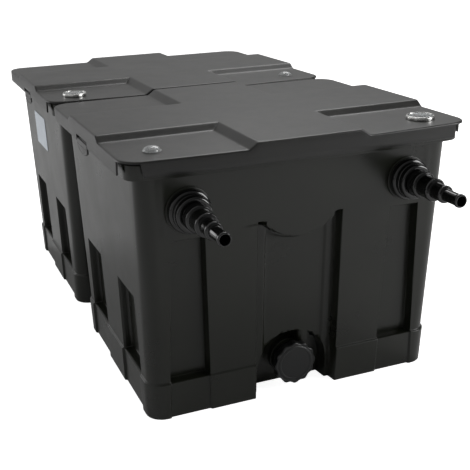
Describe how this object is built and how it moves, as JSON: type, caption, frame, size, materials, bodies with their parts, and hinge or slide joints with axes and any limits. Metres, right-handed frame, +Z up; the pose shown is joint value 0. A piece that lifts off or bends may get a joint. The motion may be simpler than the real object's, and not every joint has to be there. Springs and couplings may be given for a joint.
{
  "type": "pond box filter",
  "caption": "Flow-through garden pond filter: tapered moulded boxes in line with lift-off lids, stepped hose inlets, drains, foams and media inside.",
  "frame": {"origin": "on the ground, under the middle of the whole filter", "axes": "+Z up, +X to the right along the front face, +Y from the inlet front to the outlet rear"},
  "size_m": [0.6, 1.173, 0.464],
  "materials": {
    "tank": "moulded, fine satin grain",
    "lid": "moulded, satin",
    "clip": "moulded, satin",
    "fitting": "polished moulding",
    "cap": "satin moulding",
    "rubber": "matt",
    "silver": "satin metallised",
    "steel": "drawn rod",
    "lens": "clear",
    "needle": "smooth",
    "grid": "moulded",
    "coarse_foam": "open-cell foam, coarse",
    "medium_foam": "open-cell foam, medium",
    "fine_foam": "open-cell foam, fine",
    "media": "net bag of ribbed plastic media",
    "label": "blank printed film"
  },
  "bodies": {
    "housing": {"front_tank": "tank", "rear_tank": "tank", "inlet_bulkhead_left": "fitting", "inlet_gasket_left": "rubber", "inlet_locknut_left": "fitting", "inlet_bulkhead_right": "fitting", "inlet_gasket_right": "rubber", "inlet_locknut_right": "fitting", "front_drain_port": "fitting", "rear_drain_port": "fitting", "transfer_pipe_left": "fitting", "transfer_grommet_front_left": "rubber", "transfer_grommet_rear_left": "rubber", "transfer_pipe_right": "fitting", "transfer_grommet_front_right": "rubber", "transfer_grommet_rear_right": "rubber", "outlet_spigot": "fitting", "outlet_gasket": "rubber", "outlet_locknut": "fitting", "front_support_grid": "grid", "rear_support_grid": "grid", "coarse_foam": "coarse_foam", "medium_foam": "medium_foam", "fine_foam": "fine_foam", "media_basket": "grid", "bio_media": "media", "polishing_pad": "fine_foam", "rating_label": "label"},
    "front_lid": {"front_lid": "lid", "front_lid_seal": "rubber", "front_clip_pin_left": "steel", "front_clip_pin_right": "steel", "front_thermometer_case": "silver", "front_thermometer_lens": "lens", "front_sight_dome": "lens"},
    "front_clip_left": {"front_clip_left": "clip"},
    "front_clip_right": {"front_clip_right": "clip"},
    "front_thermometer_needle": {"front_thermometer_needle": "needle"},
    "front_sight_float": {"front_sight_float": "needle"},
    "rear_lid": {"rear_lid": "lid", "rear_lid_seal": "rubber", "rear_clip_pin_left": "steel", "rear_clip_pin_right": "steel", "rear_thermometer_case": "silver", "rear_thermometer_lens": "lens", "rear_sight_dome": "lens"},
    "rear_clip_left": {"rear_clip_left": "clip"},
    "rear_clip_right": {"rear_clip_right": "clip"},
    "rear_thermometer_needle": {"rear_thermometer_needle": "needle"},
    "rear_sight_float": {"rear_sight_float": "needle"},
    "hose_nozzle_left": {"hose_nozzle_left": "fitting"},
    "inlet_union_nut_left": {"inlet_union_nut_left": "fitting"},
    "hose_nozzle_right": {"hose_nozzle_right": "fitting"},
    "inlet_union_nut_right": {"inlet_union_nut_right": "fitting"},
    "front_drain_seal": {"front_drain_seal": "rubber"},
    "front_drain_cap": {"front_drain_cap": "cap"},
    "rear_drain_seal": {"rear_drain_seal": "rubber"},
    "rear_drain_cap": {"rear_drain_cap": "cap"}
  },
  "joints": [
    {"name": "front_lid_lift", "type": "slide", "parent": "housing", "child": "front_lid", "axis": [0, 0, 1], "range_m": [0, 0.12]},
    {"name": "front_clip_left_hinge", "type": "hinge", "parent": "front_lid", "child": "front_clip_left", "pos_m": [-0.2945, -0.2145, 0.433], "axis": [0, 1, 0], "range_deg": [0, 60]},
    {"name": "front_clip_right_hinge", "type": "hinge", "parent": "front_lid", "child": "front_clip_right", "pos_m": [0.2945, -0.2145, 0.433], "axis": [0, -1, 0], "range_deg": [0, 60]},
    {"name": "front_thermometer_needle_turn", "type": "hinge", "parent": "front_lid", "child": "front_thermometer_needle", "pos_m": [0.237, -0.4085, 0.4568], "axis": [0, 0, 1], "range_deg": [-120, 120]},
    {"name": "front_sight_float_rise", "type": "slide", "parent": "front_lid", "child": "front_sight_float", "axis": [0, 0, 1], "range_m": [0, 0.014]},
    {"name": "rear_lid_lift", "type": "slide", "parent": "housing", "child": "rear_lid", "axis": [0, 0, 1], "range_m": [0, 0.12]},
    {"name": "rear_clip_left_hinge", "type": "hinge", "parent": "rear_lid", "child": "rear_clip_left", "pos_m": [-0.2945, 0.2985, 0.433], "axis": [0, 1, 0], "range_deg": [0, 60]},
    {"name": "rear_clip_right_hinge", "type": "hinge", "parent": "rear_lid", "child": "rear_clip_right", "pos_m": [0.2945, 0.2985, 0.433], "axis": [0, -1, 0], "range_deg": [0, 60]},
    {"name": "rear_thermometer_needle_turn", "type": "hinge", "parent": "rear_lid", "child": "rear_thermometer_needle", "pos_m": [-0.237, 0.1045, 0.4568], "axis": [0, 0, 1], "range_deg": [-120, 120]},
    {"name": "rear_sight_float_rise", "type": "slide", "parent": "rear_lid", "child": "rear_sight_float", "axis": [0, 0, 1], "range_m": [0, 0.014]},
    {"name": "hose_nozzle_left_draw", "type": "slide", "parent": "housing", "child": "hose_nozzle_left", "axis": [0, -1, 0], "range_m": [0, 0.006]},
    {"name": "inlet_union_nut_left_turn", "type": "hinge", "parent": "hose_nozzle_left", "child": "inlet_union_nut_left", "pos_m": [-0.194, -0.4625, 0.364], "axis": [0, -1, 0], "range_deg": [0, 720]},
    {"name": "hose_nozzle_right_draw", "type": "slide", "parent": "housing", "child": "hose_nozzle_right", "axis": [0, -1, 0], "range_m": [0, 0.006]},
    {"name": "inlet_union_nut_right_turn", "type": "hinge", "parent": "hose_nozzle_right", "child": "inlet_union_nut_right", "pos_m": [0.194, -0.4625, 0.364], "axis": [0, -1, 0], "range_deg": [0, 720]},
    {"name": "front_drain_seal_draw", "type": "slide", "parent": "housing", "child": "front_drain_seal", "axis": [0, -1, 0], "range_m": [0, 0.006]},
    {"name": "front_drain_cap_turn", "type": "hinge", "parent": "front_drain_seal", "child": "front_drain_cap", "pos_m": [0, -0.4055, 0.05], "axis": [0, -1, 0], "range_deg": [0, 720]},
    {"name": "rear_drain_seal_draw", "type": "slide", "parent": "housing", "child": "rear_drain_seal", "axis": [0, 1, 0], "range_m": [0, 0.006]},
    {"name": "rear_drain_cap_turn", "type": "hinge", "parent": "rear_drain_seal", "child": "rear_drain_cap", "pos_m": [0, 0.4895, 0.05], "axis": [0, 1, 0], "range_deg": [0, 720]}
  ],
  "couplings": [
    {"joint": "hose_nozzle_left_draw", "follows": "inlet_union_nut_left_turn", "m_per_rad": 0.000477},
    {"joint": "hose_nozzle_right_draw", "follows": "inlet_union_nut_right_turn", "m_per_rad": 0.000477},
    {"joint": "front_drain_seal_draw", "follows": "front_drain_cap_turn", "m_per_rad": 0.000477},
    {"joint": "rear_drain_seal_draw", "follows": "rear_drain_cap_turn", "m_per_rad": 0.000477}
  ]
}
